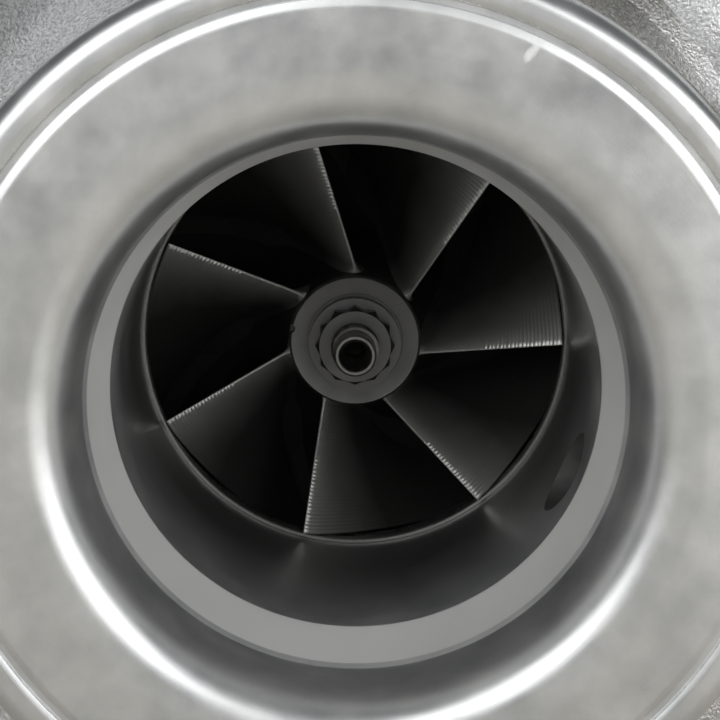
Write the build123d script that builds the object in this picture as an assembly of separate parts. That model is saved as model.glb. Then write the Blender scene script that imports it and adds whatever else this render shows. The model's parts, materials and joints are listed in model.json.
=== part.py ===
from build123d import *
from math import asin, cos, degrees, radians, sin
import os

# Single-scroll turbocharger with an internal wastegate, oil-lubricated and water-cooled.
# Frame: the rotor turns about the Y axis. The compressor inlet's front face lies at y = 0 and
# looks along -Y, the turbine outlet is at +Y, the oil feed is on top (+Z), the drain below.
# Every size is in millimetres. "y" values are distances behind the inlet face.

# ---- compressor inlet and shroud ----
inlet_lip_radius = 50.8
inlet_land_radius = 50.0
inlet_lip_length = 4.0
inlet_lip_round = 2.6
inlet_land_end = 23.0
inlet_neck_radius = 46.5
face_inner_radius = 37.1
groove_radius = 46.1
groove_width = 0.9
groove_depth = 0.7
bell_end_radius = 31.1
bell_depth = 11.4
band_start_radius = 30.7
band_start = 12.2
band_end = 20.9
bore_radius = 29.1
wheel_front = 56.7
inducer_radius = 28.15
tip_gap = 0.35
ledge_set_back = 1.3

# ---- compressor wheel ----
hub_face_radius = 8.86
hub_front = 55.0
exducer_radius = 38.0
exducer_front = 76.4
exducer_back = 81.6
wheel_back = 83.2
wheel_boss_radius = 8.0
wheel_boss_end = 88.0
compressor_blades = 7
blade_wrap = 48.0
blade_back_sweep = 12.0
blade_root_lag = 13.0
first_blade_angle = -1.7
blade_root_thickness = 1.2
blade_tip_thickness = 0.6

# ---- compressor scroll and outlet ----
diffuser_end_radius = 68.0
scroll_inner_radius = 56.0
scroll_start_radius = 8.0
scroll_end_radius = 23.0
scroll_wall = 4.5
scroll_back = 83.0
scroll_start_angle = 55.0
scroll_turn = 325.0
outlet_bore_radius = 28.0
outlet_land_radius = 31.0
outlet_lip_radius = 31.75
outlet_length = 100.0
rear_ring_radius = 86.0
rear_ring_end = 93.0

# ---- backplate and its fasteners ----
backplate_radius = 74.9
backplate_front = 84.2
backplate_back = 93.2
backplate_hub_radius = 50.0
o_ring_section = 3.0
clamp_bolt_circle = 80.5
clamp_bolt_radius = 3.0
pilot_gap = 0.1

# ---- bearing housing ----
housing_front = 94.0
front_flange_back = 104.0
waist_radius = 30.0
turbine_flange_front = 139.0
turbine_flange_back = 146.0
turbine_flange_radius = 44.0
nose_radius = 35.0
nose_end = 154.5
bearing_bore = 8.0
housing_recess = 22.0
bearing_start = 105.0
bearing_end = 135.0
running_gap = 0.05
feed_y = 116.0
drain_y = 120.5
jacket_start = 131.5
jacket_end = 138.0
jacket_inner = 14.0
jacket_outer = 25.0
coolant_y = 128.5
coolant_boss_end = 38.0
feed_pad_top = 42.0
drain_pad_bottom = -46.0
feed_bolt_offset = 19.0
drain_bolt_offset = 21.0
drain_hole_radius = 10.0
pad_bolt_radius = 3.0

# ---- rotor ----
journal_radius = 5.0
stub_radius = 3.175
shaft_tip_radius = 2.75
shaft_tip_front = 43.6
shaft_thread_front = 47.6
centre_hole_radius = 1.95
centre_hole_depth = 5.0
nut_flange_front = 52.8
nut_front = 50.4
nut_flange_radius = 6.1
nut_corner_radius = 5.3
nut_points = 12
seal_bore = 8.3
seal_ring_width = 1.6
rotor_gap = 0.3
collar_disc_radius = 12.0
thrust_front = 97.0
thrust_thickness = 3.6
thrust_gap = 0.08

# ---- turbine ----
turbine_blades = 11
turbine_inducer_radius = 34.0
turbine_exducer_radius = 29.0
turbine_disc_front = 156.9
turbine_disc_back = 158.4
turbine_nozzle_width = 8.7
turbine_exit = 189.0
turbine_nose_end = 193.0
turbine_hub_radius = 9.0
turbine_gap = 0.45
blade_rim_inset = 0.3
volute_inner_radius = 38.0
volute_start_radius = 20.0
volute_end_radius = 8.0
volute_wall = 5.0
volute_front = 158.5
volute_turn = 300.0
foot_bottom = -108.0
foot_thickness = 13.0
foot_half_x = 38.0
foot_half_y = 53.0
foot_bolt_x = 25.0
foot_bolt_y = 42.5
foot_bolt_radius = 5.2

# ---- discharge chamber and wastegate ----
chamber_x = 17.0
chamber_z = 2.0
chamber_radius = 47.0
chamber_wall = 6.0
chamber_floor = 195.0
chamber_back = 240.0
outlet_flange_radius = 65.0
outlet_flange_front = 230.0
outlet_stud_circle = 59.0
outlet_studs = 5
stud_radius = 3.9
stud_hole_radius = 3.4
stud_length = 22.0
port_x = 46.0
port_radius = 9.5
seat_radius = 13.0
seat_height = 3.0
valve_radius = 13.0
valve_thickness = 4.0
pivot_y = 208.0
pivot_radius = 4.5
bushing_radius = 7.5
boss_radius = 11.0
boss_end = 80.0
lever_x = 84.0
lever_thickness = 5.0
lever_length = 24.0
lever_rest_angle = 17.5
rod_x = 92.0
rod_z = 4.0
rod_radius = 3.0
pin_radius = 3.0

# ---- actuator ----
can_front = 3.0
can_joint = 18.0
can_back = 46.0
can_radius = 25.0
can_wall = 1.2
rim_radius = 28.5
bracket_thickness = 3.0
bracket_bolt_x = 62.0
bracket_bolt_z = 28.0
can_stud_offset = 15.0
can_stud_radius = 2.5
rod_hole_radius = 7.0
spring_wire = 2.0
spring_coil_radius = 15.0
spring_turns = 5

# ---- side port in the inlet ----
port_angle = -25.0
side_port_y = 30.5
side_port_radius = 5.35
side_boss_radius = 8.5
side_boss_end = 55.0
vent_tail_end = 76.0
side_thread_radius = 6.6
side_thread_start = 40.0

# ---- derived places ----
pivot_z = rod_z + lever_length * cos(radians(lever_rest_angle))
pin_y = pivot_y - lever_length * sin(radians(lever_rest_angle))
bracket_front = can_back
bracket_back = can_back + bracket_thickness
thrust_back = thrust_front + thrust_thickness
ledge_y = wheel_front + ledge_set_back
shroud_radius = inducer_radius + tip_gap


# ---------------------------------------------------------------- helpers
def turned(*points):
    """Solid turned about the rotor axis from (radius, y) corners."""
    return revolve(make_face(Polyline(*points, close=True)), Axis.Y)


def ring(outer, inner, start, end):
    """Plain ring about the rotor axis."""
    return turned((inner, start), (outer, start), (outer, end), (inner, end))


def bar(radius, start, end):
    """Round bar from one point to another."""
    span = Vector(*end) - Vector(*start)
    base = Plane(origin=start, z_dir=span)
    return base * Cylinder(radius, span.length, align=(Align.CENTER, Align.CENTER, Align.MIN))


def tube(outer, inner, start, end):
    """Round tube from one point to another."""
    return bar(outer, start, end) - bar(inner, start, end)


def prism(corner_radius, sides, start, end, turn=0.0):
    """Straight prism with a regular outline, such as a nut or a bolt head."""
    span = Vector(*end) - Vector(*start)
    base = Plane(origin=start, z_dir=span)
    return base * extrude(Rot(0, 0, turn) * RegularPolygon(corner_radius, sides), span.length)


def polar(radius, angle, y):
    """Point at a radius and an angle, counter-clockwise from +X as seen from the inlet."""
    return (radius * cos(radians(angle)), y, radius * sin(radians(angle)))


def around(count, start=0.0):
    """Evenly spaced angles round the rotor axis."""
    return [start + 360.0 * i / count for i in range(count)]


def hex_bolt(under_head, axis, shank_radius, shank_length, head_radius, head_height):
    """Flanged hexagon bolt: the shank runs along axis from the point under its head."""
    start = Vector(*under_head)
    along = Vector(*axis).normalized()
    shank = bar(shank_radius, tuple(start), tuple(start + along * shank_length))
    washer = bar(head_radius * 1.12, tuple(start - along * 1.2), tuple(start))
    head = prism(head_radius, 6, tuple(start - along * head_height), tuple(start - along * 1.2))
    return shank + washer + head


def save(node, *solids):
    """Write one node; several solids make a group of separate pieces."""
    flat = [s for shape in solids for s in shape.solids()]
    shape = flat[0] if len(flat) == 1 else Compound(children=flat)
    export_step(shape, os.path.join("parts", node + ".step"))
    return shape


def section(radius, centre_radius, angle, y):
    """Round section of a scroll, standing across the flow at an angle round the rotor."""
    flow = (sin(radians(angle)), 0, -cos(radians(angle)))
    outward = (cos(radians(angle)), 0, sin(radians(angle)))
    return Plane(origin=polar(centre_radius, angle, y), x_dir=outward, z_dir=flow) * Circle(radius)


# ---------------------------------------------------------------- compressor housing
def compressor_scroll(extra):
    """The scroll passage, grown by extra millimetres, from its tongue to the top."""
    steps = 10
    sections = []
    for i in range(steps + 1):
        share = i / steps
        r = scroll_start_radius + (scroll_end_radius - scroll_start_radius) * share
        angle = scroll_start_angle - scroll_turn * share
        sections.append(section(r + extra, scroll_inner_radius + r, angle, scroll_back - r))
    return loft(sections)


def compressor_outlet(extra):
    """The straight outlet that widens from the scroll's last section to the hose size."""
    last_radius = outlet_bore_radius if extra == 0 else outlet_land_radius
    end = outlet_length + 1 if extra == 0 else outlet_length
    sections = []
    for share, grown in ((0.0, 0.0), (0.3, 0.35), (0.65, 1.0), (1.0, 1.0)):
        r = scroll_end_radius + extra + (last_radius - scroll_end_radius - extra) * grown
        middle = (end * share, scroll_back - scroll_end_radius, scroll_inner_radius + scroll_end_radius)
        sections.append(Plane(origin=middle, x_dir=(0, 0, 1), z_dir=(1, 0, 0)) * Circle(r))
    return loft(sections)


def inlet_bore():
    """Everything that is turned out of the housing along the rotor axis."""
    half_r = exducer_radius - shroud_radius
    half_y = exducer_front - tip_gap - wheel_front
    sweep_angle = 90 - degrees(asin(ledge_set_back / half_y))
    shroud = EllipticalCenterArc((exducer_radius, wheel_front), half_r, half_y, 90, arc_size=sweep_angle)
    ends = sorted([shroud @ 0, shroud @ 1], key=lambda point: point.Y)
    front = Polyline((0, -1), (face_inner_radius, -1), (face_inner_radius, 0))
    bell = Bezier(
        (face_inner_radius, 0),
        (bell_end_radius + 1.2, 0),
        (bell_end_radius, 3.4),
        (bell_end_radius, bell_depth),
    )
    wall = Polyline(
        (bell_end_radius, bell_depth),
        (band_start_radius, band_start),
        (bore_radius, band_end),
        (bore_radius, ends[0].Y),
        (ends[0].X, ends[0].Y),
    )
    back = Polyline(
        (ends[1].X, ends[1].Y),
        (diffuser_end_radius, ends[1].Y),
        (diffuser_end_radius, backplate_front - 2.2),
        (exducer_radius + 4, backplate_front - 2.2),
        (exducer_radius + 4, backplate_front + 1),
        (0, backplate_front + 1),
        (0, -1),
    )
    return revolve(make_face([*front.edges(), bell, *wall.edges(), shroud, *back.edges()]), Axis.Y)


def side_port_point(radius):
    return polar(radius, port_angle, side_port_y)


def compressor_housing():
    """Cast cover with the machined inlet, the scroll, the outlet and the rear pilot ring."""
    body = turned(
        (20, 0), (inlet_lip_radius, 0), (inlet_lip_radius, inlet_lip_length),
        (inlet_land_radius, inlet_lip_length + 1.5), (inlet_land_radius, inlet_land_end),
        (inlet_neck_radius, inlet_land_end + 3), (inlet_neck_radius, 44), (50, 52), (58, 60),
        (70, 68), (rear_ring_radius, 72), (rear_ring_radius, rear_ring_end), (20, rear_ring_end),
    )
    rim = body.edges().filter_by(GeomType.CIRCLE)
    rim = [e for e in rim if abs(e.radius - inlet_lip_radius) < 0.01 and abs(e.center().Y) < 0.01]
    body = fillet(rim, inlet_lip_round)
    body += compressor_scroll(scroll_wall)
    body += compressor_outlet(scroll_wall)
    body += tube(outlet_lip_radius, outlet_bore_radius, *outlet_span(5.0, 1.0))
    body += bar(side_boss_radius, side_port_point(40), side_port_point(side_boss_end))
    for side in (-1, 1):
        foot = (bracket_bolt_x, 70, side * bracket_bolt_z)
        body += bar(7.5, foot, (bracket_bolt_x, bracket_back, side * bracket_bolt_z))
    body -= inlet_bore()
    body -= compressor_scroll(0)
    body -= compressor_outlet(0)
    body -= ring(backplate_radius + pilot_gap, 0.01, backplate_front, rear_ring_end + 1)
    half = groove_width / 2
    body -= ring(groove_radius + half, groove_radius - half, -0.1, groove_depth)
    body -= bar(side_port_radius, side_port_point(20), side_port_point(side_boss_end + 1))
    body -= bar(side_thread_radius, side_port_point(side_thread_start), side_port_point(side_boss_end + 1))
    for side in (-1, 1):
        mouth = (bracket_bolt_x, bracket_back - 1, side * bracket_bolt_z)
        body -= bar(clamp_bolt_radius, mouth, (bracket_bolt_x, 66, side * bracket_bolt_z))
    for angle in clamp_bolt_angles():
        hole = polar(clamp_bolt_circle, angle, rear_ring_end + 1)
        body -= bar(clamp_bolt_radius, hole, polar(clamp_bolt_circle, angle, rear_ring_end - 12))
    return body.solids().sort_by(SortBy.VOLUME)[-1]


def outlet_span(back_from_end, short):
    """Two points on the outlet's axis: one behind its mouth, and one just inside it."""
    centre_y = scroll_back - scroll_end_radius
    centre_z = scroll_inner_radius + scroll_end_radius
    first = (outlet_length - back_from_end, centre_y, centre_z)
    return first, (outlet_length - short, centre_y, centre_z)


def clamp_bolt_angles():
    """Six bolts in three pairs, one pair to each clamp plate."""
    return [middle + side for middle in around(3, 30.0) for side in (-14.0, 14.0)]


def vent_fitting():
    """Hose tail screwed into the side port, stopping short of the bore."""
    stem = bar(side_thread_radius, side_port_point(side_thread_start + 0.5), side_port_point(side_boss_end))
    collar = prism(9.5, 6, side_port_point(side_boss_end), side_port_point(side_boss_end + 5))
    tail = bar(5.2, side_port_point(side_boss_end + 5), side_port_point(vent_tail_end))
    tail += bar(6.2, side_port_point(vent_tail_end - 5.5), side_port_point(vent_tail_end - 1.5))
    through = bar(3.6, side_port_point(side_thread_start), side_port_point(vent_tail_end + 2))
    return stem + collar + tail - through


# ---------------------------------------------------------------- compressor wheel
def blade_station(share, blade_angle):
    """Root and tip points of a compressor blade at a share of its length."""
    t = radians(90 * share)
    hub_r = exducer_radius - (exducer_radius - hub_face_radius) * cos(t)
    hub_y = hub_front + 3.0 + (exducer_back - hub_front - 3.0) * sin(t)
    tip_r = exducer_radius - (exducer_radius - inducer_radius) * cos(t)
    tip_y = wheel_front + (exducer_front - wheel_front) * sin(t)
    wrap = blade_wrap * (1 - (1 - share) ** 1.8) + blade_back_sweep * share ** 3
    tip_angle = blade_angle + wrap
    root_angle = tip_angle - blade_root_lag * (1 - share)
    return Vector(*polar(hub_r, root_angle, hub_y)), Vector(*polar(tip_r, tip_angle, tip_y))


def blade_solid(station, blade_angle, root_thickness, tip_thickness, sink):
    """Thin blade lofted through rectangles that follow its camber surface."""
    steps = 7
    faces = []
    for i in range(steps + 1):
        share = i / steps
        root, tip = station(share, blade_angle)
        before = station(max(share - 0.02, 0.0), blade_angle)
        after = station(min(share + 0.02, 1.0), blade_angle)
        travel = (after[0] + after[1]) - (before[0] + before[1])
        span = (tip - root).normalized()
        across = span.cross(travel).normalized()
        foot = root - span * sink
        a = root_thickness / 2
        b = tip_thickness / 2
        corners = [foot + across * a, tip + across * b, tip - across * b, foot - across * a]
        faces.append(make_face(Polyline(*[tuple(c) for c in corners], close=True)))
    return loft(faces, ruled=True)


def compressor_wheel():
    """Hub, back disc and full-length blades, with the bore for the shaft's thin end."""
    inner = stub_radius + running_gap
    hub = Bezier(
        (hub_face_radius, hub_front + 3.0),
        (hub_face_radius, hub_front + 3.0 + 0.55 * (exducer_back - hub_front - 3.0)),
        (exducer_radius - 0.55 * (exducer_radius - hub_face_radius), exducer_back),
        (exducer_radius, exducer_back),
    )
    front = Polyline((inner, hub_front), (hub_face_radius - 0.3, hub_front),
                     (hub_face_radius, hub_front + 0.3), (hub_face_radius, hub_front + 3.0))
    back = Polyline(
        (exducer_radius, exducer_back), (exducer_radius, wheel_back), (22, wheel_back),
        (wheel_boss_radius + 2, wheel_boss_end - 1.2), (wheel_boss_radius, wheel_boss_end - 1.2),
        (wheel_boss_radius, wheel_boss_end), (inner, wheel_boss_end), (inner, hub_front),
    )
    wheel = revolve(make_face([*front.edges(), hub, *back.edges()]), Axis.Y)
    for angle in around(compressor_blades, first_blade_angle):
        wheel += blade_solid(blade_station, angle, blade_root_thickness, blade_tip_thickness, 1.2)
    envelope = turned(
        (inner, hub_front), (inducer_radius, hub_front), (inducer_radius, wheel_front + 14),
        (exducer_radius, exducer_front), (exducer_radius, wheel_boss_end), (inner, wheel_boss_end),
    )
    return wheel & envelope


def compressor_nut():
    """Twelve-point flange nut that clamps the wheel on the shaft."""
    flange = bar(nut_flange_radius, (0, hub_front, 0), (0, nut_flange_front, 0))
    body = prism(nut_corner_radius, 6, (0, nut_flange_front, 0), (0, nut_front, 0))
    body += prism(nut_corner_radius, 6, (0, nut_flange_front, 0), (0, nut_front, 0), 30.0)
    cone = turned((0, nut_front - 1), (nut_corner_radius - 1.2, nut_front - 1), (nut_corner_radius, nut_front + 0.9),
                  (nut_corner_radius, nut_flange_front), (0, nut_flange_front))
    body = body & cone
    return (flange + body) - bar(stub_radius, (0, nut_front - 1, 0), (0, hub_front + 1, 0))


# ---------------------------------------------------------------- rotor
def rotor_shaft():
    """Ground shaft: threaded front end, journals, and the wide turbine end."""
    shaft = turned(
        (0, shaft_tip_front), (shaft_tip_radius - 0.3, shaft_tip_front), (shaft_tip_radius, shaft_tip_front + 0.4),
        (shaft_tip_radius, shaft_thread_front), (stub_radius, shaft_thread_front + 0.4),
        (stub_radius, thrust_back + 2.2), (journal_radius, thrust_back + 2.2), (journal_radius, 114),
        (journal_radius - 0.6, 115), (journal_radius - 0.6, 125), (journal_radius, 126),
        (journal_radius, 138.5), (7.9, 139.5), (7.9, 142.0), (6.6, 142.0), (6.6, 144.0), (7.9, 144.0),
        (7.9, turbine_disc_front - 1.4), (0, turbine_disc_front - 1.4),
    )
    drill = bar(centre_hole_radius, (0, shaft_tip_front, 0), (0, shaft_tip_front + centre_hole_depth, 0))
    return shaft - drill


def oil_flinger():
    """Spacer behind the wheel: seal groove in front, oil-throwing disc behind."""
    inner = stub_radius + running_gap
    groove = wheel_boss_end + 1.6
    return turned(
        (inner, wheel_boss_end), (seal_bore - rotor_gap, wheel_boss_end), (seal_bore - rotor_gap, groove),
        (6.7, groove), (6.7, groove + seal_ring_width + 0.3), (seal_bore - rotor_gap, groove + seal_ring_width + 0.3),
        (seal_bore - rotor_gap, 94.3), (13.0, 94.3), (13.0, thrust_front - thrust_gap),
        (inner, thrust_front - thrust_gap),
    )


def thrust_collar():
    """Spool that runs against the back of the thrust bearing."""
    inner = stub_radius + running_gap
    start = thrust_front - thrust_gap
    disc = thrust_back + thrust_gap
    return turned((inner, start), (6.9, start), (6.9, disc), (collar_disc_radius, disc),
                  (collar_disc_radius, disc + 2.0), (inner, disc + 2.0))


def turbine_station(share, blade_angle):
    """Root and tip points of a turbine blade: radial at the rim, twisted at the exit."""
    t = radians(90 * share)
    rim = turbine_inducer_radius - blade_rim_inset
    hub_r = turbine_hub_radius + (rim - turbine_hub_radius) * (1 - sin(t))
    hub_y = turbine_disc_back + (turbine_exit - turbine_disc_back) * (1 - cos(t))
    tip_r = rim - (rim - turbine_exducer_radius) * sin(t)
    tip_start = turbine_disc_back + turbine_nozzle_width
    tip_y = tip_start + (turbine_exit - tip_start) * (1 - cos(t))
    twist = 38.0 * share ** 2.2
    return Vector(*polar(hub_r, blade_angle + twist, hub_y)), Vector(*polar(tip_r, blade_angle + twist, tip_y))


def turbine_wheel():
    """Cast wheel with a solid hub, welded to the shaft's wide end."""
    hub = Bezier(
        (turbine_inducer_radius, turbine_disc_back), (turbine_hub_radius + 9, turbine_disc_back + 1),
        (turbine_hub_radius, turbine_disc_back + 12), (turbine_hub_radius, turbine_exit - 2),
    )
    nose = Polyline((turbine_hub_radius, turbine_exit - 2), (turbine_hub_radius - 1.5, turbine_nose_end - 1),
                    (turbine_hub_radius - 3, turbine_nose_end), (0, turbine_nose_end),
                    (0, turbine_disc_front - 1.4), (7.9, turbine_disc_front - 1.4), (12, turbine_disc_front),
                    (turbine_inducer_radius, turbine_disc_front), (turbine_inducer_radius, turbine_disc_back))
    wheel = revolve(make_face([hub, *nose.edges()]), Axis.Y)
    for angle in around(turbine_blades, 5.0):
        wheel += blade_solid(turbine_station, angle, 1.8, 0.9, 1.5)
    return wheel


# ---------------------------------------------------------------- backplate and clamps
def backplate():
    """Disc that closes the diffuser and carries the front oil seal."""
    groove = backplate_front + 2.8
    plate = turned(
        (seal_bore, 87.8), (11, 87.8), (23, backplate_front), (backplate_radius, backplate_front),
        (backplate_radius, groove), (backplate_radius - 2.2, groove),
        (backplate_radius - 2.2, groove + o_ring_section + 0.4),
        (backplate_radius, groove + o_ring_section + 0.4), (backplate_radius, backplate_back),
        (backplate_hub_radius, backplate_back), (backplate_hub_radius, housing_front), (seal_bore, housing_front),
    )
    for angle in flange_bolt_angles():
        start = polar(40, angle, housing_front + 1)
        plate -= bar(3.0, start, polar(40, angle, backplate_front + 2))
    return plate


def backplate_o_ring():
    """Rubber ring squeezed between the backplate's groove and the pilot ring."""
    middle = backplate_front + 2.8 + (o_ring_section + 0.4) / 2
    half = 1.1
    return ring(backplate_radius, backplate_radius - 2 * half, middle - half, middle + half)


def clamp_plates():
    """Three curved steel plates that press the backplate's rim into the housing."""
    plates = []
    for middle in around(3, 30.0):
        plate = ring(rear_ring_radius - 1, backplate_radius - 5, backplate_back, backplate_back + 3)
        left = polar(130, middle - 22, 0)
        right = polar(130, middle + 22, 0)
        wedge = Plane(origin=(0, 90, 0), x_dir=(1, 0, 0), z_dir=(0, 1, 0))
        corners = [wedge.to_local_coords(Vector(p[0], 90, p[2])) for p in ((0, 0, 0), left, right)]
        outline = make_face(Polyline(*[(c.X, c.Y) for c in corners], close=True))
        plate = plate & (wedge * extrude(outline, 12))
        for side in (-14.0, 14.0):
            hole = polar(clamp_bolt_circle, middle + side, 90)
            plate -= bar(clamp_bolt_radius + 0.3, hole, polar(clamp_bolt_circle, middle + side, 100))
        plates.append(plate)
    return plates


def clamp_bolts():
    """Six bolts that pull the clamp plates down."""
    under = backplate_back + 3
    return [
        hex_bolt(polar(clamp_bolt_circle, angle, under), (0, -1, 0), clamp_bolt_radius - 0.05, 9.5, 5.2, 5.0)
        for angle in clamp_bolt_angles()
    ]


def backplate_bolts():
    """Four bolts from the bearing housing's flange into the backplate."""
    return [
        hex_bolt(polar(40, angle, front_flange_back), (0, -1, 0), 2.95, 17.0, 5.0, 5.0)
        for angle in flange_bolt_angles()
    ]


# ---------------------------------------------------------------- bearing housing
def flange_bolt_angles():
    """Four flange bolts, kept clear of the oil pads above and below."""
    return (20.0, 160.0, 200.0, 340.0)


def pad(half_x, half_y, centre_y, low, high):
    """Rounded block with its flat face up or down."""
    block = Pos(0, centre_y, (low + high) / 2) * Box(2 * half_x, 2 * half_y, high - low)
    return fillet(block.edges().filter_by(Axis.Z), min(half_x, half_y) * 0.45)


def bearing_housing():
    """Cast centre housing with the bearing bore, oil feed and drain, and water jacket."""
    body = turned(
        (5, housing_front), (backplate_hub_radius, housing_front), (backplate_hub_radius, front_flange_back),
        (waist_radius + 3, front_flange_back), (waist_radius, 109), (waist_radius, 130), (34, 138.6),
        (turbine_flange_radius, 142.2), (turbine_flange_radius, turbine_flange_back),
        (nose_radius, turbine_flange_back), (nose_radius, nose_end), (5, nose_end),
    )
    body += pad(26, 11, feed_y, 15, feed_pad_top)
    body += pad(29, 15, drain_y, drain_pad_bottom, -15)
    for side in (-1, 1):
        body += bar(8.5, (side * 20, coolant_y, 0), (side * coolant_boss_end, coolant_y, 0))
    body -= ring(housing_recess, 0.01, housing_front - 1, thrust_back)
    body -= ring(13.5, 0.01, thrust_back - 1, bearing_start - 1)
    body -= ring(bearing_bore, 0.01, bearing_start - 2, 138.6)
    body -= ring(seal_bore, 0.01, 138, nose_end + 1)
    body -= ring(jacket_outer, jacket_inner, jacket_start, jacket_end)
    body -= bar(2.5, (0, feed_y, 4), (0, feed_y, feed_pad_top + 1))
    body -= bar(drain_hole_radius, (0, drain_y, -4), (0, drain_y, drain_pad_bottom - 1))
    body -= bar(2.05, (0, 106.9, -6), (0, 106.9, -22))
    for side in (-1, 1):
        x = side * feed_bolt_offset
        body -= bar(pad_bolt_radius, (x, feed_y, feed_pad_top + 1), (x, feed_y, feed_pad_top - 12))
        x = side * drain_bolt_offset
        body -= bar(pad_bolt_radius, (x, drain_y, drain_pad_bottom - 1), (x, drain_y, drain_pad_bottom + 13))
        body -= bar(5.0, (side * 19, coolant_y, 0), (side * (coolant_boss_end + 1), coolant_y, 0))
        body -= bar(6.0, (side * 27, coolant_y, 0), (side * (coolant_boss_end + 1), coolant_y, 0))
    for angle in flange_bolt_angles():
        body -= bar(3.3, polar(40, angle, housing_front - 1), polar(40, angle, front_flange_back + 1))
    return body.solids().sort_by(SortBy.VOLUME)[-1]


def journal_bearing():
    """One-piece bronze bearing, held from turning by a pin, with its oil holes."""
    sleeve = ring(bearing_bore - 0.05, journal_radius + running_gap, bearing_start, bearing_end)
    sleeve -= ring(bearing_bore, 7.2, feed_y - 3, feed_y + 3)
    sleeve -= bar(1.6, (0, feed_y, -10), (0, feed_y, 10))
    sleeve -= bar(1.6, (-10, 130, 0), (10, 130, 0))
    return sleeve - bar(2.1, (0, 106.9, -10), (0, 106.9, -5.6))


def bearing_pin():
    """Pin that stops the bearing from turning and sliding."""
    return bar(1.95, (0, 106.9, -6.2), (0, 106.9, -20))


def thrust_bearing():
    """Bronze plate that takes the rotor's end thrust, with an oil drain notch."""
    plate = ring(housing_recess - 0.1, 7.4, thrust_front, thrust_back)
    plate -= Pos(0, thrust_front, -20) * Box(12, 12, 9)
    return plate


def oil_baffle():
    """Ring in front of the thrust bearing that keeps thrown oil off the seal."""
    plate = ring(housing_recess - 0.1, 14, housing_front + 0.05, thrust_front - 0.05)
    return plate - Pos(0, housing_front, -19) * Box(16, 12, 12)


def seal_ring(start):
    """Split piston ring that seals the rotor in its bore."""
    body = ring(seal_bore - 0.01, 7.1 + 0.05, start, start + seal_ring_width)
    return body - Pos(0, start, 8) * Box(0.5, 6, 4)


# ---------------------------------------------------------------- oil and coolant connections
def gasket(half_x, half_y, centre_y, low, thickness, hole, bolt_offset):
    sheet = pad(half_x, half_y, centre_y, low, low + thickness)
    sheet -= bar(hole, (0, centre_y, low - 1), (0, centre_y, low + thickness + 1))
    for side in (-1, 1):
        x = side * bolt_offset
        sheet -= bar(pad_bolt_radius + 0.3, (x, centre_y, low - 1), (x, centre_y, low + thickness + 1))
    return sheet


gasket_thickness = 0.8
flange_thickness = 8.0


def oil_inlet_gasket():
    return gasket(26, 11, feed_y, feed_pad_top, gasket_thickness, 4.0, feed_bolt_offset)


def oil_inlet_fitting():
    """Two-bolt flange with the feed line's flared male end."""
    low = feed_pad_top + gasket_thickness
    top = low + flange_thickness
    body = gasket(26, 11, feed_y, low, flange_thickness, 2.0, feed_bolt_offset)
    body += prism(8.0, 6, (0, feed_y, top), (0, feed_y, top + 5))
    body += bar(4.4, (0, feed_y, top + 5), (0, feed_y, top + 6.5))
    body += bar(5.55, (0, feed_y, top + 6.5), (0, feed_y, top + 15))
    flare = Plane(origin=(0, feed_y, top + 15), z_dir=(0, 0, 1))
    body += flare * Cone(4.8, 2.9, 3.2, align=(Align.CENTER, Align.CENTER, Align.MIN))
    return body - bar(2.0, (0, feed_y, low - 1), (0, feed_y, top + 20))


def oil_inlet_bolts():
    under = feed_pad_top + gasket_thickness + flange_thickness
    return [
        hex_bolt((side * feed_bolt_offset, feed_y, under), (0, 0, -1), pad_bolt_radius - 0.05, 18.5, 4.8, 5.0)
        for side in (-1, 1)
    ]


def oil_drain_gasket():
    low = drain_pad_bottom - gasket_thickness
    return gasket(29, 15, drain_y, low, gasket_thickness, drain_hole_radius, drain_bolt_offset)


def oil_drain_flange():
    """Two-bolt flange with the drain hose's tail."""
    top = drain_pad_bottom - gasket_thickness
    low = top - flange_thickness
    body = gasket(29, 15, drain_y, low, flange_thickness, 7.5, drain_bolt_offset)
    body += tube(9.5, 7.5, (0, drain_y, low), (0, drain_y, low - 26))
    body += tube(10.3, 7.5, (0, drain_y, low - 22), (0, drain_y, low - 25))
    return body


def oil_drain_bolts():
    under = drain_pad_bottom - gasket_thickness - flange_thickness
    return [
        hex_bolt((side * drain_bolt_offset, drain_y, under), (0, 0, 1), pad_bolt_radius - 0.05, 19.5, 4.8, 5.0)
        for side in (-1, 1)
    ]


def coolant_washers():
    end = coolant_boss_end
    return [tube(8.2, 6.1, (s * end, coolant_y, 0), (s * (end + 1), coolant_y, 0)) for s in (-1, 1)]


def coolant_fittings():
    """Hose tails screwed into the water jacket on both sides."""
    pieces = []
    for s in (-1, 1):
        seat = s * (coolant_boss_end + 1)
        body = bar(5.95, (s * 28, coolant_y, 0), (seat, coolant_y, 0))
        body += prism(8.0, 6, (seat, coolant_y, 0), (seat + s * 8, coolant_y, 0))
        body += bar(5.4, (seat + s * 8, coolant_y, 0), (seat + s * 30, coolant_y, 0))
        body += bar(6.2, (seat + s * 26, coolant_y, 0), (seat + s * 29, coolant_y, 0))
        pieces.append(body - bar(3.8, (s * 27, coolant_y, 0), (seat + s * 31, coolant_y, 0)))
    return pieces


# ---------------------------------------------------------------- turbine side
def heat_shield():
    """Pressed steel dish between the turbine wheel and the bearing housing."""
    start = nose_end + 0.2
    return turned((12.8, start + 0.8), (20, start + 0.8), (22, start), (nose_radius - 0.2, start),
                  (nose_radius - 0.2, start + 1.0), (22.4, start + 1.0), (20.4, start + 1.7), (12.8, start + 1.7))


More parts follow.
